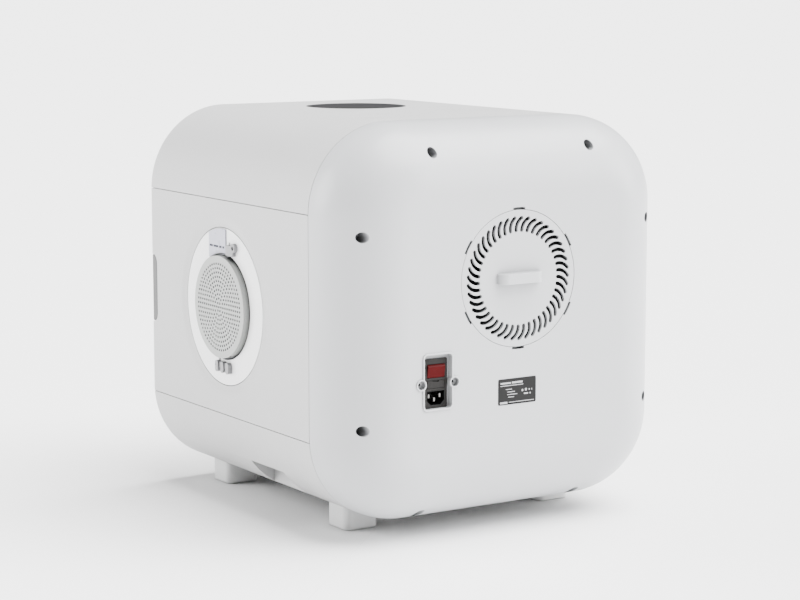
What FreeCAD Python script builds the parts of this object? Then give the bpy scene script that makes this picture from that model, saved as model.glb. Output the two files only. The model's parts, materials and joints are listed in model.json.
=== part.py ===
"""Pet drying cabinet: a free-standing rounded box with a hinged front door, a twist-lock rear
air filter cover, a swivelling vent disc in each side, a round top display and a mains inlet.

Millimetres. +X is the side with the door's finger notch, -Y is the front (door), +Z is up.
The origin is the bottom centre of the whole object's box."""
import FreeCAD, Part
import math
import os

V = FreeCAD.Vector
X_AXIS, Y_AXIS, Z_AXIS = V(1, 0, 0), V(0, 1, 0), V(0, 0, 1)

# ---- driving dimensions ----------------------------------------------------------------------
WIDTH = 430.0            # casing, side to side
HEIGHT = 434.0           # casing, without the feet
FOOT_H = 20.0
Y_FRONT = -232.5         # front edge of the casing
Y_SEAM = 139.7           # seam between the sleeve and the rear cover
Y_REAR = 222.5           # flat rear face
CORNER_R = 97.8          # casing corners seen from the front
REAR_R = 73.6            # rolled edge of the rear cover
WALL = 3.0
SEAM = 0.8               # width of the panel seams
SEAM_LOW = 111.0
SEAM_HIGH = 357.5
Z_LOW = FOOT_H
Z_TOP = FOOT_H + HEIGHT
Z_MID = FOOT_H + HEIGHT / 2

LINER_W, LINER_H, LINER_R = 377.0, 356.0, 70.0
LINER_WALL = 2.5
LINER_Y0, LINER_Y1 = -203.0, 107.5

FRAME_GAP = 0.2          # casing to front frame
FRAME_OPEN_W, FRAME_OPEN_H, FRAME_OPEN_R = 412.0, 416.0, 88.8
FLANGE_Y = -209.0        # face that the door's gasket meets

DOOR_GAP = 1.5
DOOR_Y0, DOOR_Y1 = -228.5, -210.5
DOOR_RIM = 38.0          # width of the moulded rim round the window
HINGE_X, HINGE_Y = -200.5, DOOR_Y0
KNUCKLE_R, HINGE_PIN_R = 4.0, 1.6
HINGE_ZS = (135.0, 309.0)   # lower end of each hinge
HINGE_LEN = 30.0

NOTCH_Z0, NOTCH_Z1, NOTCH_DEEP = 196.0, 278.0, 12.0
NOTCH_R = 11.0
LATCH_ZS, LATCH_X, LATCH_H = (150.0, 324.0), 194.0, 24.0   # magnets and the door's strikes

PORT_Y, PORT_Z = -54.6, 235.5
PORT_X = 213.0           # outer face of the port ring
RING_R, RING_T = 90.0, 3.0
PORT_BORE = 61.2
DISH_R = 104.0
DISH_GAP = 1.0           # between the ring and the dish
DISH_LEDGE_R, DISH_STEP_R = 78.0, 95.0
VENT_R = 58.7
VENT_PROUD = 7.0
VENT_TILT = math.radians(10.7)   # lean of the swivel axis, its top towards the rear
VENT_PIN_R = 1.5
VENT_WALL, VENT_REBATE = 2.5, 4.0   # wall of the disc, and how far it reaches into the ring
VENT_HOLE_R, VENT_HOLE_STEP, VENT_HOLE_RINGS = 1.45, 4.95, 10
RUNNING = 0.05           # radial clearance of the pins

FILTER_Z = 284.0
FILTER_R = 74.6
FILTER_OPEN_R = 75.2
SLOT_COUNT = 45
SLOT_R0, SLOT_R1, SLOT_W = 52.5, 66.0, 4.2
SLOT_SWEEP = math.radians(7.2)
GRIP_LEN, GRIP_H, GRIP_OUT = 56.0, 11.3, 10.0
LUG_COUNT, LUG_R = 6, 77.2
LUG_TWIST = 20.0         # degrees from locked to free

INLET_X, INLET_Z = 104.4, 178.0
WELL_W, WELL_H = 35.0, 58.7
PLATE_Y = 218.5          # face of the inlet module
ROCKER_Z = 191.6
ROCKER_TILT = 9.0
SOCKET_Z = 162.2
RIM_Z, RIM_OUT, RIM_T = 180.6, 1.2, 1.7   # raised rim round the inlet's well
BOSS_X, BOSS_Z, BOSS_R, BOSS_BORE_R = 21.2, 178.5, 6.2, 4.9
BOSS_FLOOR = 218.5       # where a boss's wide bore ends and its screw hole starts
INLET_SCREW_R = 1.5
FUSE_Z = 177.2

LABEL_X, LABEL_Z, LABEL_W, LABEL_H = 1.0, 160.6, 50.3, 28.7

DISPLAY_R, DISPLAY_Y = 59.3, -114.6
LENS_T, LENS_SUNK = 1.8, 0.2
FOOT_X, FOOT_YS, FOOT_SIDE, FOOT_R = 131.5, (91.4, -182.6), 43.0, 9.0
FOOT_TOP = 34.0          # height of a foot before it is fitted to the casing
SOLE_R = 2.5
SCREW_R = 2.0            # shank of the feet's screws
SCOOP_Y0, SCOOP_Y1, SCOOP_X, SCOOP_TOP = -25.0, 50.5, 166.0, 60.5

SCOOP_WALL = 2.5

BULK_Y0, BULK_Y1 = 161.0, 164.0
BULK_W, BULK_H, BULK_R = 419.0, 423.0, 93.0
BLOWER_R = 80.0
BLOWER_Y0 = 112.0
BLOWER_EYE_R = 45.0      # round inlet of the blower
DUCT_TOP = 190.0         # joint of the blower's throat and the outlet duct
HEATER_Y0, HEATER_Y1 = 115.0, 156.0
ROTOR_R = 60.0


# ---- helpers ---------------------------------------------------------------------------------
def box(x0, x1, y0, y1, z0, z1):
    return Part.makeBox(x1 - x0, y1 - y0, z1 - z0, V(x0, y0, z0))


def cyl(axis, base, r, length):
    return Part.makeCylinder(r, length, base, axis)


def cyl_y(x, z, r, y0, y1):
    return cyl(Y_AXIS, V(x, y0, z), r, y1 - y0)


def cyl_z(x, y, r, z0, z1):
    return cyl(Z_AXIS, V(x, y, z0), r, z1 - z0)


def cyl_x(y, z, r, x0, x1):
    return cyl(X_AXIS, V(x0, y, z), r, x1 - x0)


def rounded_rectangle(w, h, r, place):
    """A closed wire of four lines and four arcs, set in space by place(u, v)."""
    a, b, k = w / 2, h / 2, r * (1 - math.sqrt(0.5))
    corners = []
    for su, sv in ((1, -1), (1, 1), (-1, 1), (-1, -1)):
        ends = [(su * a, sv * (b - r)), (su * (a - r), sv * b)]
        if su * sv > 0:
            first, last = ends
        else:
            last, first = ends
        corners.append((first, (su * (a - k), sv * (b - k)), last))
    edges = []
    for i, (first, middle, last) in enumerate(corners):
        edges.append(Part.Arc(place(*first), place(*middle), place(*last)).toShape())
        following = corners[(i + 1) % 4][0]
        if math.dist(last, following) > 1e-6:
            edges.append(Part.LineSegment(place(*last), place(*following)).toShape())
    return Part.Wire(edges)


def slab_y(cx, cz, w, h, r, y0, y1):
    wire = rounded_rectangle(w, h, r, lambda u, v: V(cx + u, y0, cz + v))
    return Part.Face(wire).extrude(V(0, y1 - y0, 0))


def slab_x(cy, cz, w, h, r, x0, x1):
    wire = rounded_rectangle(w, h, r, lambda u, v: V(x0, cy + u, cz + v))
    return Part.Face(wire).extrude(V(x1 - x0, 0, 0))


def slab_z(cx, cy, w, h, r, z0, z1):
    wire = rounded_rectangle(w, h, r, lambda u, v: V(cx + u, cy + v, z0))
    return Part.Face(wire).extrude(V(0, 0, z1 - z0))


def casing_slab(inset, y0, y1):
    """The casing's outline, moved in by inset and drawn out along Y."""
    return slab_y(0, Z_MID, WIDTH - 2 * inset, HEIGHT - 2 * inset, CORNER_R - inset, y0, y1)


def fuse(shapes):
    return shapes[0].multiFuse(shapes[1:]).removeSplitter() if len(shapes) > 1 else shapes[0]


def mirrored(shape):
    return shape.mirror(V(0, 0, 0), X_AXIS)


def turned(shape, centre, axis, degrees):
    copy = shape.copy()
    copy.rotate(centre, axis, degrees)
    return copy


def ring_y(x, z, r0, r1, y0, y1):
    return cyl_y(x, z, r1, y0, y1).cut(cyl_y(x, z, r0, y0 - 1, y1 + 1))


def save(name, shape):
    os.makedirs("parts", exist_ok=True)
    shape.exportStep("parts/%s.step" % name)
    print("%-24s solids %3d  valid %s  volume %.0f"
          % (name, len(shape.Solids), shape.isValid(), shape.Volume))


def save_pair(name, shape):
    save(name + "_right", shape)
    save(name + "_left", mirrored(shape))


# ---- casing ----------------------------------------------------------------------------------
TONGUE_Y0, TONGUE_Y1 = -202.5, 130.0
TONGUE = 2.0             # thickness of the lips behind the seams
TONGUE_REACH = 8.0
TONGUE_ROOT = 14.0


def casing_sleeve():
    return casing_slab(0, Y_FRONT, Y_SEAM - SEAM / 2).cut(casing_slab(WALL, Y_FRONT - 1, Y_SEAM))


def tongue_sleeve(y0, y1):
    return casing_slab(WALL, y0, y1).cut(casing_slab(WALL + TONGUE, y0 - 1, y1 + 1))


def band(z0, z1):
    return box(-WIDTH, WIDTH, -400, 400, z0, z1)


def top_cover():
    skin = casing_sleeve().common(band(SEAM_HIGH + SEAM / 2, 500))
    lip = tongue_sleeve(TONGUE_Y0, TONGUE_Y1).common(band(SEAM_HIGH - TONGUE_REACH, SEAM_HIGH + TONGUE_ROOT))
    cover = fuse([skin, lip])
    return cover.cut(cyl_z(0, DISPLAY_Y, DISPLAY_R + 0.5, Z_TOP - LENS_T - LENS_SUNK, Z_TOP + 1))


def scoop_space():
    """The hand hold in the lower corner, open outwards and downwards."""
    return slab_x((SCOOP_Y0 + SCOOP_Y1) / 2, 0, SCOOP_Y1 - SCOOP_Y0, 2 * SCOOP_TOP, 2, SCOOP_X, 230)


def lift_cup():
    length = SCOOP_Y1 - SCOOP_Y0 + 2 * SCOOP_WALL
    outer = slab_x((SCOOP_Y0 + SCOOP_Y1) / 2, 0, length, 2 * (SCOOP_TOP + SCOOP_WALL), 4,
                   SCOOP_X - SCOOP_WALL, 230)
    cup = outer.common(casing_slab(0, Y_FRONT, Y_SEAM))
    return cup.cut(scoop_space())


def bottom_cover():
    skin = casing_sleeve().common(band(0, SEAM_LOW - SEAM / 2))
    lip = tongue_sleeve(TONGUE_Y0, TONGUE_Y1).common(band(SEAM_LOW - TONGUE_ROOT, SEAM_LOW + TONGUE_REACH))
    cover = fuse([skin, lip])
    for space in (scoop_space(), mirrored(scoop_space())):
        cover = cover.cut(space)
    cover = fuse([cover, lift_cup(), mirrored(lift_cup())])
    for x, y in foot_centres():
        cover = cover.cut(cyl_z(x, y, SCREW_R, Z_LOW - 1, Z_LOW + 9))
    return cover


def dish():
    """Soft shallow recess round the port, with the ledge that carries the ring."""
    x0 = WIDTH / 2
    floor, ledge = PORT_X, PORT_X - RING_T
    lip_r = RING_R + DISH_GAP
    half_drop, half_run = (x0 - floor) / 2, (DISH_R - lip_r) / 2
    mid = (x0 - half_drop, DISH_R - half_run)

    def at(x, r):
        return V(x, PORT_Y, PORT_Z + r)

    upper = Part.Arc(at(x0, DISH_R), at(x0 - half_drop / 4, DISH_R - half_run / 2), at(*mid)).toShape()
    lower = Part.Arc(at(*mid), at(floor + half_drop / 4, lip_r + half_run / 2), at(floor, lip_r)).toShape()
    outline = [(floor, lip_r), (ledge, lip_r), (ledge, DISH_LEDGE_R), (ledge - WALL, DISH_LEDGE_R),
               (ledge - WALL, DISH_STEP_R), (x0 - WALL, DISH_R + 4), (x0, DISH_R + 4), (x0, DISH_R)]
    lines = [Part.LineSegment(at(*a), at(*b)).toShape() for a, b in zip(outline, outline[1:])]
    profile = Part.Face(Part.Wire([upper, lower] + lines))
    return profile.revolve(V(0, PORT_Y, PORT_Z), X_AXIS, 360)


def finger_notch():
    w = 3 * NOTCH_DEEP
    cy = Y_FRONT + NOTCH_DEEP - w / 2
    return slab_x(cy, (NOTCH_Z0 + NOTCH_Z1) / 2, w, NOTCH_Z1 - NOTCH_Z0, NOTCH_R, 190, 220)


def side_panel():
    panel = casing_sleeve().common(band(SEAM_LOW + SEAM / 2, SEAM_HIGH - SEAM / 2))
    panel = panel.common(box(0, 300, -400, 400, 0, 500))
    panel = panel.cut(cyl_x(PORT_Y, PORT_Z, DISH_R + 2, 200, 230))
    return fuse([panel, dish()])


# across, height and seat depth of the four screws on one side
REAR_SCREWS = [(103.3, 423.5, 187.0), (187.9, 338.4, 187.0), (187.9, 132.8, 187.0), (104.3, 28.8, 167.0)]
WELL_R, WELL_WALL, REAR_SHANK_R, REAR_HEAD_R = 5.8, 2.0, 1.9, 4.4
SEAT_Y0, SEAT_Y1 = 213.0, 215.4      # ledge that the filter cover's lugs lock behind
COLLAR_R0, COLLAR_R1 = 78.5, 81.0


def boss_places():
    return [INLET_X + s * BOSS_X for s in (1, -1)]


def rear_screw_places():
    return [(s * x, z, floor) for x, z, floor in REAR_SCREWS for s in (1, -1)]


def rear_block(inset, y0):
    """Solid with the rear cover's rolled edge, moved in by inset."""
    block = casing_slab(inset, y0, Y_REAR - inset)
    rim = [e for e in block.Edges if all(abs(v.Y - (Y_REAR - inset)) < 1e-6 for v in e.Vertexes)]
    return block.makeFillet(REAR_R - inset, rim)


def rear_cover():
    outer = rear_block(0, Y_SEAM + SEAM / 2)
    cover = outer.cut(rear_block(WALL, Y_SEAM - 1))
    cover = fuse([cover, tongue_sleeve(Y_SEAM - 9, Y_SEAM + 10)])
    for x, z, floor in rear_screw_places():
        cover = cover.fuse(cyl_y(x, z, WELL_R + WELL_WALL, floor - 2.5, Y_REAR).common(outer))
        cover = cover.cut(cyl_y(x, z, WELL_R, floor, Y_REAR + 5))
        cover = cover.cut(cyl_y(x, z, REAR_SHANK_R + 0.2, floor - 5, floor + 1))
    cover = cover.fuse(ring_y(0, FILTER_Z, COLLAR_R0, COLLAR_R1, SEAT_Y0, Y_REAR - WALL))
    cover = cover.fuse(ring_y(0, FILTER_Z, 70.5, COLLAR_R1, SEAT_Y0, SEAT_Y1))
    cover = cover.cut(cyl_y(0, FILTER_Z, FILTER_OPEN_R, 217, Y_REAR + 1))
    for i in range(LUG_COUNT):
        cover = cover.cut(filter_sector(lug_angle(i), 12, LUG_R + 0.4, Y_REAR - WALL - 1, Y_REAR + 1))
    # well of the mains inlet: raised rim, tray and two counterbored screw bosses
    rim_top = Y_REAR + RIM_OUT
    rim = slab_y(INLET_X, RIM_Z, WELL_W + 2 * RIM_T, WELL_H + 2 * RIM_T, 5.5, 214.5, rim_top)
    bosses = [cyl_y(x, BOSS_Z, BOSS_R, 210, rim_top) for x in boss_places()]
    cover = cover.fuse(rim)
    cover = cover.cut(slab_y(INLET_X, RIM_Z, WELL_W, WELL_H, 4, PLATE_Y - 2, rim_top + 1))
    cover = cover.multiFuse(bosses)
    cover = cover.cut(slab_y(INLET_X, INLET_Z, 26, 53, 2, 210, 217))
    for x in boss_places():
        cover = cover.cut(cyl_y(x, BOSS_Z, BOSS_BORE_R, BOSS_FLOOR, rim_top + 1))
        cover = cover.cut(cyl_y(x, BOSS_Z, INLET_SCREW_R, 205, BOSS_FLOOR + 1))
    return cover.removeSplitter()


def lug_angle(i):
    return 90 + 360 / LUG_COUNT * i


def filter_sector(degrees, width, r, y0, y1):
    """Pie slice of a disc about the filter's axis."""
    slice_ = Part.makeCylinder(r, y1 - y0, V(0, 0, 0), Z_AXIS, width)
    slice_.rotate(V(0, 0, 0), Z_AXIS, degrees - width / 2)
    slice_.rotate(V(0, 0, 0), X_AXIS, -90)
    slice_.translate(V(0, y0, FILTER_Z))
    return slice_


def front_frame():
    outer = casing_slab(WALL + FRAME_GAP, Y_FRONT + 1, LINER_Y0)
    door_space = slab_y(0, Z_MID, FRAME_OPEN_W, FRAME_OPEN_H, FRAME_OPEN_R, Y_FRONT, FLANGE_Y)
    throat = slab_y(0, Z_MID, LINER_W - 2 * LINER_WALL, LINER_H - 2 * LINER_WALL,
                    LINER_R - LINER_WALL, Y_FRONT, LINER_Y0 + 1)
    frame = outer.cut(door_space).cut(throat).cut(finger_notch())
    for z0 in HINGE_ZS:
        for a, b in ((0, 9.7), (20.3, HINGE_LEN)):
            arm = box(-207, HINGE_X, HINGE_Y - 3, HINGE_Y + 3, z0 + a, z0 + b)
            knuckle = cyl_z(HINGE_X, HINGE_Y, KNUCKLE_R, z0 + a, z0 + b)
            frame = frame.fuse(arm.fuse(knuckle))
        frame = frame.cut(cyl_z(HINGE_X, HINGE_Y, HINGE_PIN_R, z0 - 1, z0 + HINGE_LEN + 1))
    for magnet in magnet_blocks():
        frame = frame.cut(magnet)
    return frame.removeSplitter()


def magnet_blocks():
    return [box(LATCH_X, LATCH_X + 10, FLANGE_Y, FLANGE_Y + 4, z - LATCH_H / 2, z + LATCH_H / 2)
            for z in LATCH_ZS]


# ---- cabin -----------------------------------------------------------------------------------
DUCT_X0, DUCT_X1 = -79.0, -19.0
DUCT_X = (DUCT_X0 + DUCT_X1) / 2
DUCT_T = 2.0
GRILLE_Z, GRILLE_W, GRILLE_H = 129.0, 66.0, 46.0
MOUTH_Z0, MOUTH_Z1 = 112.0, 146.0    # opening between the duct and the cabin
SENSOR_X, SENSOR_Z, SENSOR_R = 60.0, 330.0, 3.0
FLOOR_W, FLOOR_L, FLOOR_Y = 292.0, 286.0, -50.0
FLOOR_Z0, FLOOR_Z1, RAIL_Z0 = 69.0, 72.0, 61.8
FLOOR_PITCH = 24.0                   # between the columns of slots


def cabin_liner():
    outer = slab_y(0, Z_MID, LINER_W, LINER_H, LINER_R, LINER_Y0, LINER_Y1)
    inner = slab_y(0, Z_MID, LINER_W - 2 * LINER_WALL, LINER_H - 2 * LINER_WALL,
                   LINER_R - LINER_WALL, LINER_Y0 - 1, LINER_Y1 - LINER_WALL)
    liner = outer.cut(inner)
    liner = liner.cut(cyl_x(PORT_Y, PORT_Z, PORT_BORE + 2.8, -200, 200))
    liner = liner.cut(box(DUCT_X0 + DUCT_T, DUCT_X1 - DUCT_T, 100, 110, MOUTH_Z0, MOUTH_Z1))
    return liner.cut(cyl_y(SENSOR_X, SENSOR_Z, SENSOR_R, 100, 110))


def outlet_grille():
    plate = slab_y(DUCT_X, GRILLE_Z, GRILLE_W, GRILLE_H, 4, 103, LINER_Y1 - LINER_WALL)
    slots = [slab_y(DUCT_X, z, 50, 3, 1.4, 102, 106) for z in range(114, 147, 6)]
    return plate.cut(Part.makeCompound(slots))


def floor_grille():
    tray = slab_z(0, FLOOR_Y, FLOOR_W, FLOOR_L, 30, FLOOR_Z0, FLOOR_Z1)
    columns = [s * FLOOR_PITCH * (k + 0.5) for k in range(6) for s in (1, -1)]
    slots = [slab_z(x, FLOOR_Y + dy, 9, 52, 4.4, 60, 73) for x in columns for dy in (-96, -32, 32, 96)]
    rails = [box(FLOOR_PITCH * k - 1.5, FLOOR_PITCH * k + 1.5, -185, 85, RAIL_Z0, FLOOR_Z0)
             for k in (-4, -2, 0, 2, 4)]
    return fuse([tray.cut(Part.makeCompound(slots))] + rails)


def temperature_sensor():
    tip = cyl_y(SENSOR_X, SENSOR_Z, SENSOR_R, 97, 112)
    return tip.fuse(cyl_y(SENSOR_X, SENSOR_Z, SENSOR_R + 2, 103, LINER_Y1 - LINER_WALL))


# ---- door ------------------------------------------------------------------------------------
DOOR_W = FRAME_OPEN_W - 2 * DOOR_GAP
DOOR_H = FRAME_OPEN_H - 2 * DOOR_GAP
DOOR_R = FRAME_OPEN_R - DOOR_GAP
GRIP_X0, GRIP_X1 = 187.1, 214.8      # inner side and outer wall of the door's grip
GRIP_BACK = -212.2
GRIP_GAP = 0.6                       # between the grip and the casing's notch
GRIP_WALL = 3.0
SIGHT_W, SIGHT_H, SIGHT_R = DOOR_W - 2 * DOOR_RIM, DOOR_H - 2 * DOOR_RIM, DOOR_R - DOOR_RIM + 12


def door_frame():
    block = slab_y(0, Z_MID, DOOR_W, DOOR_H, DOOR_R, DOOR_Y0, DOOR_Y1)
    rim = [e for e in block.Edges if all(abs(v.Y - DOOR_Y0) < 1e-6 for v in e.Vertexes)]
    door = block.makeFillet(4.0, rim)
    door = door.cut(slab_y(0, Z_MID, SIGHT_W, SIGHT_H, SIGHT_R, DOOR_Y0 - 1, DOOR_Y1 + 1))
    door = door.cut(slab_y(0, Z_MID, SIGHT_W + 12, SIGHT_H + 12, SIGHT_R + 6, -222, DOOR_Y1 + 1))
    door = door.cut(box(GRIP_X0, 210, DOOR_Y0 - 1, GRIP_BACK, NOTCH_Z0, NOTCH_Z1))
    for z0 in HINGE_ZS:
        barrel = cyl_z(HINGE_X, HINGE_Y, KNUCKLE_R, z0 + 10, z0 + 20)
        web = box(HINGE_X, HINGE_X + 8, HINGE_Y, HINGE_Y + 6, z0 + 10, z0 + 20)
        for a, b in ((-0.4, 10), (20, HINGE_LEN + 0.4)):
            door = door.cut(cyl_z(HINGE_X, HINGE_Y, 7.2, z0 + a, z0 + b))
        door = door.fuse(barrel.fuse(web))
        door = door.cut(cyl_z(HINGE_X, HINGE_Y, HINGE_PIN_R + RUNNING, z0 - 1, z0 + HINGE_LEN + 1))
    for strike in strike_plates():
        door = door.cut(strike)
    return door.removeSplitter()


def strike_plates():
    return [box(LATCH_X, LATCH_X + 9, DOOR_Y1 - 1.5, DOOR_Y1, z - LATCH_H / 2, z + LATCH_H / 2)
            for z in LATCH_ZS]


def door_window():
    return slab_y(0, Z_MID, SIGHT_W + 11.4, SIGHT_H + 11.4, SIGHT_R + 5.7, -222, -218)


def door_grip():
    """Finger pocket in the door's edge; its outer wall fills the casing's notch."""
    middle, height = (NOTCH_Z0 + NOTCH_Z1) / 2, NOTCH_Z1 - NOTCH_Z0
    edge = DOOR_W / 2
    seat = box(GRIP_X0, edge, DOOR_Y0, GRIP_BACK, NOTCH_Z0 + 0.2, NOTCH_Z1 - 0.2)
    reach = 3 * NOTCH_DEEP
    plug = slab_x(Y_FRONT + NOTCH_DEEP - GRIP_GAP - reach / 2, middle, reach, height - 2 * GRIP_GAP,
                  NOTCH_R - GRIP_GAP, edge - 1, GRIP_X1)
    front = Y_FRONT + 0.2
    plug = plug.common(box(0, 300, front, 0, 0, 500))
    rim = [e for e in plug.Edges if all(abs(v.X - GRIP_X1) < 1e-6 for v in e.Vertexes)
           and max(v.Y for v in e.Vertexes) > front + 0.1]
    grip = seat.fuse(plug.makeFillet(2.0, rim))
    deep = box(GRIP_X0 + 5, edge - 1, Y_FRONT - 1, GRIP_BACK - GRIP_WALL, NOTCH_Z0 + 6, NOTCH_Z1 - 6)
    shallow = box(edge - 2, GRIP_X1 - GRIP_WALL, Y_FRONT - 1, Y_FRONT + NOTCH_DEEP - GRIP_GAP - GRIP_WALL,
                  NOTCH_Z0 + 9, NOTCH_Z1 - 9)
    return grip.cut(deep).cut(shallow).removeSplitter()


def door_gasket():
    outer = slab_y(0, Z_MID, 384, 363, 73.5, DOOR_Y1, DOOR_Y1 + 1.2)
    return outer.cut(slab_y(0, Z_MID, 376, 355, 69.5, DOOR_Y1 - 1, DOOR_Y1 + 2))


def hinge_pins():
    return Part.makeCompound([cyl_z(HINGE_X, HINGE_Y, HINGE_PIN_R, z0, z0 + HINGE_LEN) for z0 in HINGE_ZS])


# ---- side ports (built on +X and mirrored) ---------------------------------------------------
def vent_direction():
    return V(0, math.sin(VENT_TILT), math.cos(VENT_TILT))


def vent_axis_point(r):
    return V(PORT_X, PORT_Y, PORT_Z) + vent_direction() * r


def pin_bore(r):
    return cyl(vent_direction(), vent_axis_point(-76), r, 152).cut(
        cyl(vent_direction(), vent_axis_point(-50), r + 1, 100))


def port_ring():
    flat = cyl_x(PORT_Y, PORT_Z, RING_R, PORT_X - RING_T, PORT_X)
    sleeve = cyl_x(PORT_Y, PORT_Z, PORT_BORE + 2.5, LINER_W / 2 - LINER_WALL, PORT_X)
    ring = flat.fuse(sleeve).cut(cyl_x(PORT_Y, PORT_Z, PORT_BORE, 180, 220))
    return ring.cut(pin_bore(VENT_PIN_R + RUNNING)).removeSplitter()


def port_brackets():
    """Upper eyelet bracket and lower clevis that carry the vent disc's swivel pins."""
    eye_y, eye_z = PORT_Y + 28, PORT_Z + 69.5
    plate = slab_x(PORT_Y + 20, PORT_Z + 66, 17, 12, 1.5, PORT_X, PORT_X + 4)
    eye = cyl_x(eye_y, eye_z, 5.2, PORT_X, PORT_X + 4)
    upper = plate.fuse(eye).cut(cyl_x(eye_y, eye_z, 2.4, PORT_X - 1, PORT_X + 5))
    base = slab_x(PORT_Y + 1, PORT_Z - 67.5, 32, 7, 3, PORT_X, PORT_X + 3.2)
    ears = [slab_x(PORT_Y + y, PORT_Z - 69.5, 7, 13, 3.2, PORT_X, PORT_X + 5) for y in (-11.5, 1.5, 13.5)]
    lower = base.multiFuse(ears)
    both = [s.cut(pin_bore(VENT_PIN_R + RUNNING)).removeSplitter() for s in (upper, lower)]
    return Part.makeCompound(both)


def port_tab():
    """Clear strap over the ring, from the vent disc's opening to the ring's edge."""
    shape = slab_x(PORT_Y - 13, PORT_Z + 74, 40, 40, 2, PORT_X, PORT_X + 1.4)
    shape = shape.common(cyl_x(PORT_Y, PORT_Z, RING_R - 1, 200, 230))
    return shape.cut(cyl_x(PORT_Y, PORT_Z, PORT_BORE + 0.4, 200, 230))


def vent_disc():
    front, back = PORT_X + VENT_PROUD, PORT_X - VENT_REBATE
    cup = cyl_x(PORT_Y, PORT_Z, VENT_R, back, front)
    cup = cup.cut(cyl_x(PORT_Y, PORT_Z, VENT_R - VENT_WALL, back - 1, front - VENT_WALL))
    for s in (1, -1):
        boss = cyl(vent_direction() * s, vent_axis_point(s * (VENT_R - 6)), 3.4, 5.5)
        cup = cup.fuse(boss.common(cyl_x(PORT_Y, PORT_Z, VENT_R, back, front)))
    centres = [(0.0, 0.0)]
    for ring in range(1, VENT_HOLE_RINGS + 1):
        r, count = VENT_HOLE_STEP * ring, 6 * ring
        for k in range(count):
            a = 2 * math.pi * (k + 0.5 * (ring % 2)) / count
            centres.append((r * math.sin(a), r * math.cos(a)))
    holes = [cyl_x(PORT_Y + y, PORT_Z + z, VENT_HOLE_R, front - 4, front + 1) for y, z in centres]
    return cup.cut(Part.makeCompound(holes)).cut(vent_pins())


def vent_pins():
    pins = [cyl(vent_direction() * s, vent_axis_point(s * (VENT_R - 1)), VENT_PIN_R, 12) for s in (1, -1)]
    return Part.makeCompound(pins)


# ---- rear filter -----------------------------------------------------------------------------
def slot_prism(k):
    """One curved slot: a thin crescent that starts radial and bends clockwise (seen from the rear)."""
    run, rise = SLOT_R1 * math.sin(SLOT_SWEEP), SLOT_R1 * math.cos(SLOT_SWEEP) - SLOT_R0
    lean = math.atan2(run, rise)
    bend = math.hypot(run, rise) / (2 * math.sin(lean))
    centre = (bend, SLOT_R0)
    outline = []
    for radius in (bend + SLOT_W / 2, bend - SLOT_W / 2):
        outline.append([V(centre[0] - radius * math.cos(t), 215, centre[1] + radius * math.sin(t))
                        for t in (0, lean, 2 * lean)])
    outer, inner = outline
    edges = [Part.Arc(*outer).toShape(), Part.LineSegment(outer[2], inner[2]).toShape(),
             Part.Arc(*reversed(inner)).toShape(), Part.LineSegment(inner[0], outer[0]).toShape()]
    prism = Part.Face(Part.Wire(edges)).extrude(V(0, 12, 0))
    for t in (0, 2 * lean):
        prism = prism.fuse(cyl_y(centre[0] - bend * math.cos(t), centre[1] + bend * math.sin(t),
                                 SLOT_W / 2, 215, 227))
    prism = mirrored(prism)
    prism.rotate(V(0, 0, 0), Y_AXIS, 360.0 * k / SLOT_COUNT - 4)
    prism.translate(V(0, 0, FILTER_Z))
    return prism


def filter_cover():
    face = cyl_y(0, FILTER_Z, FILTER_R, 218.9, Y_REAR - 0.2)
    skirt = ring_y(0, FILTER_Z, 69.5, 72, 216, 219)
    bar = slab_z(0, Y_REAR + GRIP_OUT - 15, GRIP_LEN, 30, 9.5, FILTER_Z + 1 - GRIP_H / 2,
                 FILTER_Z + 1 + GRIP_H / 2)
    bar = bar.common(box(-50, 50, Y_REAR - 1, Y_REAR + 20, 0, 500))
    cover = face.multiFuse([skirt, bar])
    for i in range(LUG_COUNT):
        lug = filter_sector(lug_angle(i) - LUG_TWIST, 10, LUG_R, 216.2, 218.9)
        cover = cover.fuse(lug.cut(cyl_y(0, FILTER_Z, 70.5, 200, 230)))
    cover = cover.cut(Part.makeCompound([slot_prism(k) for k in range(SLOT_COUNT)]))
    return cover.removeSplitter()


def filter_foam():
    return cyl_y(0, FILTER_Z, 68.5, 204, 212.5)


def intake_guard():
    rim = ring_y(0, FILTER_Z, 66, 71, 200, 204)
    rings = [ring_y(0, FILTER_Z, r - 1, r + 1, 201, 204) for r in (22, 44)]
    bars = [turned(box(-1.2, 1.2, 201, 204, FILTER_Z, FILTER_Z + 67), V(0, 0, FILTER_Z), Y_AXIS, a)
            for a in range(0, 360, 45)]
    return fuse([rim] + rings + bars)


def intake_shroud():
    tube = ring_y(0, FILTER_Z, 71, 73.4, BULK_Y1, 212.8)
    return tube.fuse(ring_y(0, FILTER_Z, 71, 80, BULK_Y1, BULK_Y1 + 2)).removeSplitter()


# ---- machine space ---------------------------------------------------------------------------
def bulkhead():
    plate = slab_y(0, Z_MID, BULK_W, BULK_H, BULK_R, BULK_Y0, BULK_Y1)
    plate = plate.cut(cyl_y(0, FILTER_Z, BLOWER_EYE_R, 150, 170))
    for x, z, _floor in rear_screw_places():
        plate = plate.cut(cyl_y(x, z, REAR_SHANK_R, 150, 170))
    return plate


def rear_cover_screws():
    screws = []
    for x, z, floor in rear_screw_places():
        head = cyl_y(x, z, REAR_HEAD_R, floor, floor + 3)
        cross = box(x - 3, x + 3, floor + 1.6, floor + 4, z - 0.5, z + 0.5)
        cross = cross.fuse(box(x - 0.5, x + 0.5, floor + 1.6, floor + 4, z - 3, z + 3))
        screws.append(head.cut(cross).fuse(cyl_y(x, z, REAR_SHANK_R, 152, floor)).removeSplitter())
    return Part.makeCompound(screws)


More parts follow.
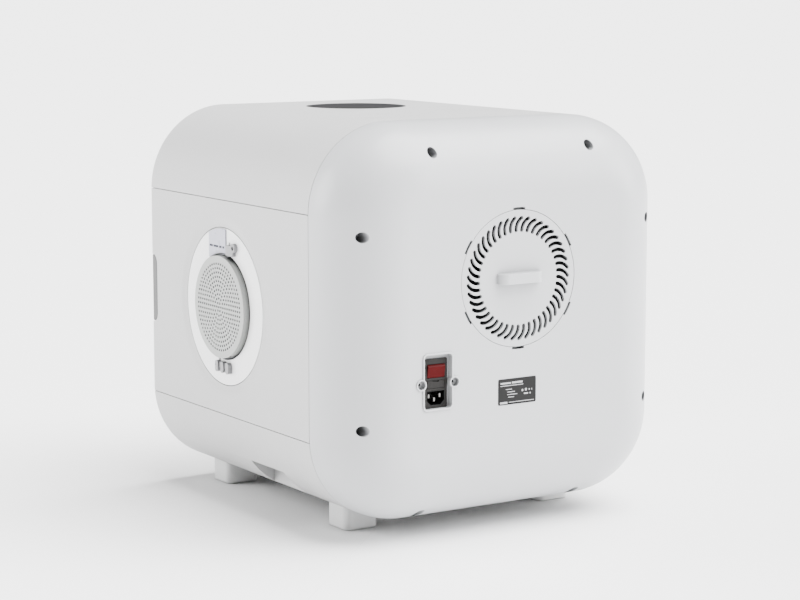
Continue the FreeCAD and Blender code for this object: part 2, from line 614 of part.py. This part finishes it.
def blower_volute():
    y0, y1, t = BLOWER_Y0, BULK_Y0, DUCT_T
    outer = cyl_y(0, FILTER_Z, BLOWER_R, y0, y1).fuse(box(DUCT_X0, DUCT_X1, y0, y1, DUCT_TOP, FILTER_Z))
    inner = cyl_y(0, FILTER_Z, BLOWER_R - t, y0 + t, y1 - t)
    inner = inner.fuse(box(DUCT_X0 + t, DUCT_X1 - t, y0 + t, y1 - t, DUCT_TOP - 10, FILTER_Z))
    eye = cyl_y(0, FILTER_Z, BLOWER_EYE_R, y1 - t - 1, y1 + 1)
    return outer.cut(inner).cut(eye).removeSplitter()


MOTOR_R, SHAFT_R = 23.0, 3.0
CUP_R0, CUP_R1 = 25.0, 27.0
BLADE_COUNT, BLADE_R0, BLADE_R1, BLADE_LEAN = 24, 45.0, 59.5, 28.0


def blower_motor():
    can = cyl_y(0, FILTER_Z, MOTOR_R, BLOWER_Y0 + DUCT_T, 136)
    return can.cut(cyl_y(0, FILTER_Z, SHAFT_R + RUNNING, 118, 137))


def blower_shaft():
    return cyl_y(0, FILTER_Z, SHAFT_R, 119, 140)


def blower_rotor():
    cup = ring_y(0, FILTER_Z, CUP_R0, CUP_R1, 116.5, 142).fuse(cyl_y(0, FILTER_Z, CUP_R1, 140, 142))
    plate = ring_y(0, FILTER_Z, CUP_R0 + 1, ROTOR_R, 116.5, 118.5)
    shroud = ring_y(0, FILTER_Z, 50, ROTOR_R, 150, 152)
    blades = []
    for k in range(BLADE_COUNT):
        blade = box(-0.8, 0.8, 118, 150.5, BLADE_R0, BLADE_R1)
        blade.rotate(V(0, 0, BLADE_R0), Y_AXIS, BLADE_LEAN)
        blade.rotate(V(0, 0, 0), Y_AXIS, 360 / BLADE_COUNT * k)
        blade.translate(V(0, 0, FILTER_Z))
        blades.append(blade.common(cyl_y(0, FILTER_Z, ROTOR_R, 116, 152)))
    return fuse([cup, plate, shroud] + blades)


def outlet_duct():
    y0, y1 = LINER_Y1, BULK_Y0
    outer = box(DUCT_X0, DUCT_X1, y0, y1, 108, DUCT_TOP)
    inner = box(DUCT_X0 + DUCT_T, DUCT_X1 - DUCT_T, BLOWER_Y0, y1 - DUCT_T, 108 + DUCT_T, DUCT_TOP + 1)
    mouth = box(DUCT_X0 + DUCT_T, DUCT_X1 - DUCT_T, y0 - 1, BLOWER_Y0 + 1, MOUTH_Z0, MOUTH_Z1)
    return outer.cut(inner).cut(mouth)


def heater_frame():
    outer = box(DUCT_X0 + DUCT_T, DUCT_X1 - DUCT_T, HEATER_Y0 - 3, HEATER_Y1 + 3, 154, 184)
    return outer.cut(box(DUCT_X0 + 5, DUCT_X1 - 5, HEATER_Y0, HEATER_Y1, 150, 190))


def heater_fins():
    count, pitch = 12, 4.0
    fins = [box(x, x + 0.8, HEATER_Y0, HEATER_Y1, 156, 182)
            for x in (DUCT_X0 + 8 + pitch * k for k in range(count))]
    cores = [box(DUCT_X0 + 5, DUCT_X1 - 5, y, y + 4, 160, 178) for y in (122, 144)]
    return fuse(fins + cores)


BOARD_X0, BOARD_X1, BOARD_Z0, BOARD_Z1 = -150.0, -45.0, 62.0, 148.0
BOARD_Y0, BOARD_Y1 = 168.0, 169.6


def power_board():
    board = box(BOARD_X0, BOARD_X1, BOARD_Y0, BOARD_Y1, BOARD_Z0, BOARD_Z1)
    posts = [cyl_y(x, z, 3, BULK_Y1, BOARD_Y0) for x in (BOARD_X0 + 5, BOARD_X1 - 5)
             for z in (BOARD_Z0 + 5, BOARD_Z1 - 5)]
    return board.multiFuse(posts)


def power_board_parts():
    y = BOARD_Y1
    blocks = [box(-140, -112, y, y + 22, 100, 132), box(-104, -84, y, y + 14, 108, 128),
              box(-76, -52, y, y + 12, 120, 140), box(-140, -120, y, y + 9, 70, 90)]
    caps = [cyl_y(-100, 82, 8, y, y + 24), cyl_y(-78, 82, 8, y, y + 24), cyl_y(-62, 100, 5, y, y + 16)]
    return Part.makeCompound(blocks + caps)


def ionizer():
    return slab_y(125, 330, 38, 24, 3, BULK_Y1, BULK_Y1 + 16)


def display_lens():
    return cyl_z(0, DISPLAY_Y, DISPLAY_R, Z_TOP - LENS_T - LENS_SUNK, Z_TOP - LENS_SUNK)


def display_board():
    board = cyl_z(0, DISPLAY_Y, 50, Z_TOP - 9, Z_TOP - 7.4)
    post_r = 42
    posts = [cyl_z(post_r * math.cos(a), DISPLAY_Y + post_r * math.sin(a), 3, Z_TOP - 8, Z_TOP - WALL)
             for a in (0.8, 2.9, 5.0)]
    chip = box(-12, 12, DISPLAY_Y - 12, DISPLAY_Y + 12, Z_TOP - 12, Z_TOP - 9)
    return fuse([board, chip] + posts)


# ---- mains inlet -----------------------------------------------------------------------------
ROCKER_Y = 213.0
ROCKER_HALF, ROCKER_R, ROCKER_FACE = 10.9, 8.8, 6.4
SOCKET_DEPTH, SOCKET_DX = 16.0, 0.0
SOCKET_HALF_W, SOCKET_HALF_H, SOCKET_CHAMFER = 12.3, 8.8, 5.0
DRAWER_W, DRAWER_H = 21.6, 8.2


def socket_outline(grow, y0, y1):
    """Inlet recess: a rectangle with its two lower corners cut off."""
    a, b, c = SOCKET_HALF_W + grow, SOCKET_HALF_H + grow, SOCKET_CHAMFER
    points = [(-a, b), (a, b), (a, -b + c), (a - c, -b), (-a + c, -b), (-a, -b + c), (-a, b)]
    wire = Part.makePolygon([V(INLET_X + SOCKET_DX + x, y0, SOCKET_Z + z) for x, z in points])
    return Part.Face(wire).extrude(V(0, y1 - y0, 0))


def inlet_housing():
    plate = slab_y(INLET_X, INLET_Z + 0.3, 28.4, 53.6, 1.5, 216.5, PLATE_Y)
    body = slab_y(INLET_X, INLET_Z, 25.8, 52.6, 1.5, 186, 217)
    lamp_wall = box(INLET_X - 11.6, INLET_X + 11.6, 200, 217.5, ROCKER_Z - 9.2, ROCKER_Z + 9.2)
    opening = box(INLET_X - 11.2, INLET_X + 11.2, 216, 220, ROCKER_Z - 7.6, ROCKER_Z + 7.6)
    housing = plate.fuse(body).cut(lamp_wall).cut(opening)
    housing = housing.cut(socket_outline(0, 189, PLATE_Y + 1))
    housing = housing.cut(box(INLET_X - DRAWER_W / 2 - 0.4, INLET_X + DRAWER_W / 2 + 0.4, 190, 220,
                              FUSE_Z - DRAWER_H / 2 - 0.4, FUSE_Z + DRAWER_H / 2 + 0.4))
    housing = housing.cut(inlet_pins())
    return housing.removeSplitter()


def inlet_socket():
    """Black insert that lines the inlet recess; its middle is the plug's space."""
    block = socket_outline(-0.05, 190, PLATE_Y - 0.5)
    space = socket_outline(-1.2, PLATE_Y - SOCKET_DEPTH, PLATE_Y + 1)
    block = block.cut(space)
    for x, z in PIN_PLACES:
        block = block.cut(box(x - 1, x + 1, 189, 220, z - 2, z + 2))
    return block


PIN_PLACES = [(INLET_X - 6.4, 164.4), (INLET_X + 7.6, 164.4), (INLET_X + 0.6, 160.4)]


def inlet_pins():
    return Part.makeCompound([box(x - 1, x + 1, 184, PLATE_Y - 2.5, z - 2, z + 2) for x, z in PIN_PLACES])


def inlet_screws():
    return Part.makeCompound([cyl_y(x, BOSS_Z, INLET_SCREW_R, 200, BOSS_FLOOR - 1.5) for x in boss_places()])


def power_rocker():
    x0, x1 = INLET_X - ROCKER_HALF, INLET_X + ROCKER_HALF
    body = cyl_x(ROCKER_Y, ROCKER_Z, ROCKER_R, x0, x1)
    body = body.common(box(x0, x1, ROCKER_Y - 1.5, ROCKER_Y + ROCKER_FACE, 100, 300))
    hub = cyl_x(ROCKER_Y, ROCKER_Z, 2, x0, x1)
    return turned(body.fuse(hub).removeSplitter(), V(0, ROCKER_Y, ROCKER_Z), X_AXIS, -ROCKER_TILT)


def fuse_drawer():
    drawer = box(INLET_X - DRAWER_W / 2, INLET_X + DRAWER_W / 2, 194, PLATE_Y,
                 FUSE_Z - DRAWER_H / 2, FUSE_Z + DRAWER_H / 2)
    drawer = drawer.cut(box(INLET_X - 10.2, INLET_X + 10.2, 198, 208, FUSE_Z - 2.9, FUSE_Z + 5))
    return drawer.cut(box(INLET_X - 4, INLET_X + 4, PLATE_Y - 1.2, PLATE_Y + 1, FUSE_Z + 2.6, FUSE_Z + 5))


def mains_fuse():
    return cyl_x(203, FUSE_Z, 2.6, INLET_X - 10, INLET_X + 10)


def rear_label():
    return slab_y(LABEL_X, LABEL_Z, LABEL_W, LABEL_H, 1.5, Y_REAR, Y_REAR + 0.3)


# ---- feet ------------------------------------------------------------------------------------
def foot_centres():
    return [(s * FOOT_X, y) for s in (1, -1) for y in FOOT_YS]


def feet():
    casing = casing_slab(0, Y_FRONT, Y_SEAM)
    blocks = []
    for x, y in foot_centres():
        block = slab_z(x, y, FOOT_SIDE, FOOT_SIDE, FOOT_R, 0, FOOT_TOP)
        sole = [e for e in block.Edges if all(abs(v.Z) < 1e-6 for v in e.Vertexes)]
        block = block.makeFillet(SOLE_R, sole).cut(casing)
        blocks.append(block.cut(cyl_z(x, y, 5, -1, 14)).cut(cyl_z(x, y, SCREW_R, 13, 30)))
    return Part.makeCompound(blocks)


def foot_screws():
    screws = [cyl_z(x, y, 4.2, 11, 14).fuse(cyl_z(x, y, SCREW_R, 14, 29)).removeSplitter()
              for x, y in foot_centres()]
    return Part.makeCompound(screws)


# ---- the parts -------------------------------------------------------------------------------
def main():
    save("top_cover", top_cover())
    save("bottom_cover", bottom_cover())
    save("side_panel_right", side_panel().cut(finger_notch()))
    save("side_panel_left", mirrored(side_panel()))
    save("rear_cover", rear_cover())
    save("front_frame", front_frame())
    save("cabin_liner", cabin_liner())
    save("outlet_grille", outlet_grille())
    save("floor_grille", floor_grille())
    save("temperature_sensor", temperature_sensor())
    save("door_frame", door_frame())
    save("door_window", door_window())
    save("door_grip", door_grip())
    save("door_gasket", door_gasket())
    save("door_strikes", Part.makeCompound(strike_plates()))
    save("latch_magnets", Part.makeCompound(magnet_blocks()))
    save("hinge_pins", hinge_pins())
    save_pair("port_ring", port_ring())
    save_pair("port_brackets", port_brackets())
    save_pair("port_tab", port_tab())
    save_pair("vent_disc", vent_disc())
    save_pair("vent_pins", vent_pins())
    save("filter_cover", filter_cover())
    save("filter_foam", filter_foam())
    save("intake_guard", intake_guard())
    save("intake_shroud", intake_shroud())
    save("bulkhead", bulkhead())
    save("rear_cover_screws", rear_cover_screws())
    save("blower_volute", blower_volute())
    save("blower_motor", blower_motor())
    save("blower_shaft", blower_shaft())
    save("blower_rotor", blower_rotor())
    save("outlet_duct", outlet_duct())
    save("heater_frame", heater_frame())
    save("heater_fins", heater_fins())
    save("power_board", power_board())
    save("power_board_parts", power_board_parts())
    save("ionizer", ionizer())
    save("display_lens", display_lens())
    save("display_board", display_board())
    save("inlet_housing", inlet_housing())
    save("inlet_socket", inlet_socket())
    save("inlet_pins", inlet_pins())
    save("inlet_screws", inlet_screws())
    save("power_rocker", power_rocker())
    save("fuse_drawer", fuse_drawer())
    save("mains_fuse", mains_fuse())
    save("rear_label", rear_label())
    save("feet", feet())
    save("foot_screws", foot_screws())


main()
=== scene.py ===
import json
import math
import bmesh
import bpy
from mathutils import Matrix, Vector


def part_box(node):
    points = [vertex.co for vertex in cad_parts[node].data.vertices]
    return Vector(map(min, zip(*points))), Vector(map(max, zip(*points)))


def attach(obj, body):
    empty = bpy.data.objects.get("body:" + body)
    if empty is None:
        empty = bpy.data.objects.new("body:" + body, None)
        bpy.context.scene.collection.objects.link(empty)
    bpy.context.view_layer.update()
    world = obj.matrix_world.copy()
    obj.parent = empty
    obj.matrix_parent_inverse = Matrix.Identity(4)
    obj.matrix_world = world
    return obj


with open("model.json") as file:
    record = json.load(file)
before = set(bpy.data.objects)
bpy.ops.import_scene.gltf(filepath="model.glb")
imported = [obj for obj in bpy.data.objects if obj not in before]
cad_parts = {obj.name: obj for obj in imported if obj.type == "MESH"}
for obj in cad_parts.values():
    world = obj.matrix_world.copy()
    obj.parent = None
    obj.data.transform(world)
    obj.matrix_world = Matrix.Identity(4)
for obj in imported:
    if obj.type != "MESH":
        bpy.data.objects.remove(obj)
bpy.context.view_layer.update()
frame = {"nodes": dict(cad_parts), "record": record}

MM = 0.001
NODES = frame["nodes"]

INK_T = 0.05 * MM                    # thickness of printed marks
SMOOTH_BELOW = math.radians(35)      # faces meeting at less than this shade as one
STRAP_PRINT_INSET = (2 * MM, 3 * MM)   # from the strap's two long edges
STRAP_PRINT_LEVEL = 0.40             # of the strap's height, from its lower end
STRAP_PRINT_HALF = 1.2 * MM

CAMERA_AT = (1.4006, 2.1812, 0.6096)
CAMERA_AIM = (0.0105, 0.0, 0.2339)
LENS_MM, SENSOR_MM = 100.84, 36.0
FLOOR_SIDE, FLOOR_DROP = 600.0, 0.2 * MM
WORLD_STRENGTH = 0.35
SUN_AWAY = 3.0
SUNS = [("top", (-0.35, 0.25, 1.0), 13.0, 60),      # name, towards, strength, spread in degrees
        ("left", (1.0, -0.85, 0.35), 4.6, 40),
        ("right", (-1.0, 0.75, 0.35), 4.2, 40)]


# ---- materials -------------------------------------------------------------------------------
def new_material(name):
    material = bpy.data.materials.new(name)
    material.use_nodes = True
    tree = material.node_tree
    return material, tree, tree.nodes["Principled BSDF"]


def noise(tree, coords, scale, detail=3.0, rough=0.5):
    node = tree.nodes.new("ShaderNodeTexNoise")
    node.inputs["Scale"].default_value = scale
    node.inputs["Detail"].default_value = detail
    node.inputs["Roughness"].default_value = rough
    tree.links.new(coords, node.inputs["Vector"])
    return node.outputs["Fac"]


def remap(tree, value, low, high, start=0.3, end=0.7):
    node = tree.nodes.new("ShaderNodeMapRange")
    for socket, number in zip(("From Min", "From Max", "To Min", "To Max"), (start, end, low, high)):
        node.inputs[socket].default_value = number
    tree.links.new(value, node.inputs["Value"])
    return node.outputs["Result"]


def colour_mix(tree, factor, first, second):
    node = tree.nodes.new("ShaderNodeMix")
    node.data_type = "RGBA"
    tree.links.new(factor, node.inputs["Factor"])
    for socket, value in zip((node.inputs[6], node.inputs[7]), (first, second)):
        if isinstance(value, (tuple, list)):
            socket.default_value = (*value, 1.0)
        else:
            tree.links.new(value, socket)
    return node.outputs[2]


def edge_mask(tree, radius):
    """0 on flats, towards 1 on edges, with the rounded normal that goes with it."""
    bevel = tree.nodes.new("ShaderNodeBevel")
    bevel.samples = 4
    bevel.inputs["Radius"].default_value = radius
    geometry = tree.nodes.new("ShaderNodeNewGeometry")
    dot = tree.nodes.new("ShaderNodeVectorMath")
    dot.operation = "DOT_PRODUCT"
    tree.links.new(bevel.outputs["Normal"], dot.inputs[0])
    tree.links.new(geometry.outputs["Normal"], dot.inputs[1])
    return remap(tree, dot.outputs["Value"], 1.0, 0.0, 0.75, 0.995), bevel.outputs["Normal"]


def tinted(colour, factor):
    return tuple(min(1.0, c * factor) for c in colour)


def surface(name, colour, rough, *, metallic=0.0, spread=0.02, patch=9.0, grain=900.0, bump=0.04,
            bump_depth=0.00012, rough_spread=0.05, edge=0.0006, edge_highlight_gain=1.06, coat=0.0, ior=1.46,
            specular=0.5, transmission=0.0, alpha=1.0, brushed=None, crevice_shade=0.5, reach=0.022):
    """Moulded or metal surface: patchy tone, fine grain, uneven gloss, painted highlight on edges,
    painted shade in recesses.
    """
    material, tree, shader = new_material(name)
    coords = tree.nodes.new("ShaderNodeTexCoord").outputs["Object"]
    grain_coords = coords
    if brushed:
        mapping = tree.nodes.new("ShaderNodeMapping")
        mapping.inputs["Scale"].default_value = brushed
        tree.links.new(coords, mapping.inputs["Vector"])
        grain_coords = mapping.outputs["Vector"]
    tone = remap(tree, noise(tree, coords, patch, 4.0), 0.0, 1.0)
    base = colour_mix(tree, tone, tinted(colour, 1 - spread), tinted(colour, 1 + spread))
    # painted highlight: along edges found by the bevel normal, the colour is lightened towards the
    # colour times the edge gain
    mask, rounded = edge_mask(tree, edge)
    edge_highlighted = colour_mix(tree, mask, base, tinted(colour, edge_highlight_gain))
    # painted shade: ambient occlusion within reach darkens the colour towards the crevice factor in
    # recesses, seams, holes, between parts and on the floor next to the cabinet
    shaded = tree.nodes.new("ShaderNodeAmbientOcclusion")
    shaded.samples = 6
    shaded.inputs["Distance"].default_value = reach
    depth = remap(tree, shaded.outputs["AO"], 0.0, 1.0, 0.15, 0.9)
    crevice_shaded = colour_mix(tree, depth, tinted(colour, crevice_shade), edge_highlighted)
    tree.links.new(crevice_shaded, shader.inputs["Base Color"])
    smudge = noise(tree, coords, patch * 3.1, 5.0, 0.6)
    gloss = remap(tree, smudge, rough - rough_spread, rough + rough_spread)
    tree.links.new(gloss, shader.inputs["Roughness"])
    relief = tree.nodes.new("ShaderNodeBump")
    relief.inputs["Strength"].default_value = bump
    relief.inputs["Distance"].default_value = bump_depth
    tree.links.new(noise(tree, grain_coords, grain, 2.0), relief.inputs["Height"])
    tree.links.new(rounded, relief.inputs["Normal"])
    tree.links.new(relief.outputs["Normal"], shader.inputs["Normal"])
    shader.inputs["Metallic"].default_value = metallic
    shader.inputs["IOR"].default_value = ior
    shader.inputs["Specular IOR Level"].default_value = specular
    shader.inputs["Coat Weight"].default_value = coat
    shader.inputs["Transmission Weight"].default_value = transmission
    shader.inputs["Alpha"].default_value = alpha
    return material


MATERIALS = {
    "casing_white": surface("casing_plastic", (0.50, 0.50, 0.502), 0.42, spread=0.012, crevice_shade=0.42,
                            reach=0.04),
    "rear_white": surface("rear_plastic", (0.485, 0.492, 0.505), 0.34, spread=0.012, edge=0.0009,
                          edge_highlight_gain=1.5, crevice_shade=0.4, reach=0.016),
    "frame_white": surface("frame_plastic", (0.52, 0.52, 0.525), 0.36),
    "liner_white": surface("liner_plastic", (0.56, 0.57, 0.58), 0.3),
    "foot_white": surface("foot_plastic", (0.62, 0.625, 0.625), 0.5, bump=0.1, crevice_shade=0.85),
    "window_tint": surface("window_panel", (0.55, 0.57, 0.60), 0.06, transmission=0.95, bump=0.01,
                           edge=0.0002),
    "grip_grey": surface("grip_plastic", (0.075, 0.075, 0.075), 0.4, crevice_shade=0.4, reach=0.006),
    "seal_rubber": surface("seal_rubber", (0.02, 0.02, 0.021), 0.75, bump=0.3),
    "steel": surface("plated_steel", (0.45, 0.45, 0.46), 0.32, metallic=1.0, brushed=(1, 1, 12)),
    "magnet_grey": surface("magnet_plating", (0.32, 0.32, 0.33), 0.3, metallic=1.0),
    "ring_white": surface("ring_plastic", (0.93, 0.93, 0.935), 0.22, coat=0.3, crevice_shade=0.6, reach=0.006),
    "bracket_clear": surface("bracket_plastic", (0.27, 0.27, 0.28), 0.3, transmission=0.1),
    "tab_clear": surface("strap_plastic", (0.46, 0.46, 0.55), 0.28),
    # painted shade inside the vent holes and a painted highlight on their rims
    "vent_grey": surface("vent_plastic", (0.37, 0.38, 0.368), 0.42, edge=0.0012, edge_highlight_gain=1.35,
                         crevice_shade=0.03, reach=0.02),
    "filter_foam": surface("filter_foam", (0.008, 0.008, 0.009), 0.95, bump=1.0, grain=500,
                           bump_depth=0.001),
    "machine_grey": surface("machine_plastic", (0.22, 0.23, 0.24), 0.5),
    "rotor_black": surface("rotor_plastic", (0.015, 0.015, 0.016), 0.45),
    "motor_metal": surface("motor_metal", (0.55, 0.55, 0.56), 0.4, metallic=1.0),
    "heater_metal": surface("heater_metal", (0.62, 0.62, 0.63), 0.35, metallic=1.0, brushed=(1, 12, 1)),
    "board_green": surface("board_mask", (0.01, 0.07, 0.035), 0.35),
    "component_dark": surface("component_plastic", (0.025, 0.025, 0.028), 0.5),
    "display_dark": surface("display_gloss", (0.022, 0.022, 0.023), 0.55, specular=0.06, bump=0.01),
    "sensor_black": surface("sensor_plastic", (0.015, 0.015, 0.015), 0.5),
    "inlet_grey": surface("inlet_plastic", (0.0115, 0.0105, 0.0098), 0.55, specular=0.2, bump=0.15),
    "socket_black": surface("socket_plastic", (0.002, 0.002, 0.002), 0.45, specular=0.3),
    "pin_nickel": surface("contact_nickel", (0.20, 0.195, 0.19), 0.4, metallic=1.0),
    "rocker_red": surface("rocker_plastic", (0.05, 0.0004, 0.0009), 0.4, specular=0.08, crevice_shade=0.25,
                          reach=0.004),
    "fuse_glass": surface("fuse_glass", (0.8, 0.83, 0.83), 0.05, transmission=0.95, bump=0.0),
    "label_film": surface("label_film", (0.0075, 0.0075, 0.0075), 0.55, specular=0.2),
}
for part in frame["record"]["subparts"]:
    mesh = NODES[part["node"]].data
    mesh.materials.clear()
    mesh.materials.append(MATERIALS[part["material_slot"]])
# painted shade: the inlet screws are coloured near-black so that the bores they sit in read dark
NODES["inlet_screws"].data.materials[0] = surface("screw_bore_shade", (0.006, 0.006, 0.006), 0.5,
                                                  specular=0.2)


# ---- printed marks -----------------------------------------------------------------------------
def add_block(mesh, low, high):
    """A closed block between two corners."""
    made = bmesh.ops.create_cube(mesh, size=1.0)["verts"]
    size = [b - a for a, b in zip(low, high)]
    centre = [(a + b) / 2 for a, b in zip(low, high)]
    bmesh.ops.scale(mesh, vec=size, verts=made)
    bmesh.ops.translate(mesh, vec=centre, verts=made)


def piece_from(name, mesh, material, body):
    """One object from a finished mesh, riding on a body."""
    data = bpy.data.meshes.new(name)
    mesh.normal_update()
    mesh.to_mesh(data)
    mesh.free()
    data.polygons.foreach_set("use_smooth", [True] * len(data.polygons))
    data.set_sharp_from_angle(angle=SMOOTH_BELOW)
    data.materials.append(material)
    piece = bpy.data.objects.new(name, data)
    bpy.context.scene.collection.objects.link(piece)
    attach(piece, body)


# left, right, top and bottom of each bar, as parts of the plate's width and height
LABEL_BARS = [(0.06, 0.33, 0.14, 0.20), (0.36, 0.64, 0.13, 0.20), (0.06, 0.66, 0.255, 0.28),
              (0.20, 0.36, 0.40, 0.425), (0.24, 0.44, 0.50, 0.525), (0.24, 0.50, 0.60, 0.625),
              (0.26, 0.42, 0.70, 0.725), (0.62, 0.66, 0.46, 0.54), (0.71, 0.755, 0.44, 0.53),
              (0.81, 0.835, 0.46, 0.52), (0.88, 0.895, 0.46, 0.52), (0.68, 0.79, 0.61, 0.66),
              (0.83, 0.86, 0.61, 0.66), (0.05, 0.24, 0.885, 0.955), (0.28, 0.95, 0.90, 0.922)]


def label_print():
    """Plain light bars on the rating plate, in place of any wording."""
    low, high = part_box("rear_label")
    width, height = high[0] - low[0], high[2] - low[2]
    mesh = bmesh.new()
    for left, right, top, bottom in LABEL_BARS:
        add_block(mesh, (high[0] - right * width, high[1], high[2] - bottom * height),
                  (high[0] - left * width, high[1] + INK_T, high[2] - top * height))
    ink = surface("label_ink", (0.42, 0.42, 0.43), 0.5, edge=0.00002, specular=0.2)
    piece_from("label_print", mesh, ink, "cabinet")


# start and end of each dash, as parts of the line's length
STRAP_BARS = [(0.0, 0.22), (0.27, 0.60), (0.66, 0.82), (0.88, 1.0)]


def strap_print(side, sign):
    """A broken dark line across the clear strap."""
    low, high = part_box("port_tab_" + side)
    face = high[0] if sign > 0 else low[0]
    start, end = low[1] + STRAP_PRINT_INSET[0], high[1] - STRAP_PRINT_INSET[1]
    level = low[2] + STRAP_PRINT_LEVEL * (high[2] - low[2])
    half = STRAP_PRINT_HALF
    mesh = bmesh.new()
    for a, b in STRAP_BARS:
        add_block(mesh, (min(face, face + sign * INK_T), start + a * (end - start), level - half),
                  (max(face, face + sign * INK_T), start + b * (end - start), level + half))
    ink = surface("strap_ink_" + side, (0.02, 0.02, 0.035), 0.5, edge=0.00002, specular=0.2)
    piece_from("strap_print_" + side, mesh, ink, "cabinet")


label_print()
strap_print("right", 1)
strap_print("left", -1)


# ---- camera, light and floor -----------------------------------------------------------------
def add_camera():
    data = bpy.data.cameras.new("camera")
    data.sensor_width = SENSOR_MM
    data.lens = LENS_MM
    camera = bpy.data.objects.new("camera", data)
    bpy.context.scene.collection.objects.link(camera)
    place = Vector(CAMERA_AT)
    camera.location = place
    camera.rotation_euler = (Vector(CAMERA_AIM) - place).to_track_quat("-Z", "Y").to_euler()
    bpy.context.scene.camera = camera


def add_sun(name, towards, strength, spread):
    """A broad soft source, far off in the direction given."""
    data = bpy.data.lights.new(name, "SUN")
    data.energy = strength
    data.angle = math.radians(spread)
    light = bpy.data.objects.new(name, data)
    light.location = Vector(towards) * SUN_AWAY
    light.rotation_euler = (-Vector(towards)).to_track_quat("-Z", "Y").to_euler()
    bpy.context.scene.collection.objects.link(light)


def add_stage():
    bpy.ops.mesh.primitive_plane_add(size=FLOOR_SIDE, location=(0, 0, -FLOOR_DROP))
    floor = bpy.context.object
    floor.name = "floor"
    paper = surface("floor_paper", (0.95, 0.95, 0.95), 0.7, edge=0.0001, spread=0.004,
                    patch=0.8, grain=60.0, bump=0.01, specular=0.1)
    floor.data.materials.append(paper)
    world = bpy.data.worlds.new("studio")
    world.use_nodes = True
    background = world.node_tree.nodes["Background"]
    background.inputs["Color"].default_value = (1.0, 1.0, 1.0, 1.0)
    background.inputs["Strength"].default_value = WORLD_STRENGTH
    bpy.context.scene.world = world


add_camera()
add_stage()
for sun in SUNS:
    add_sun(*sun)
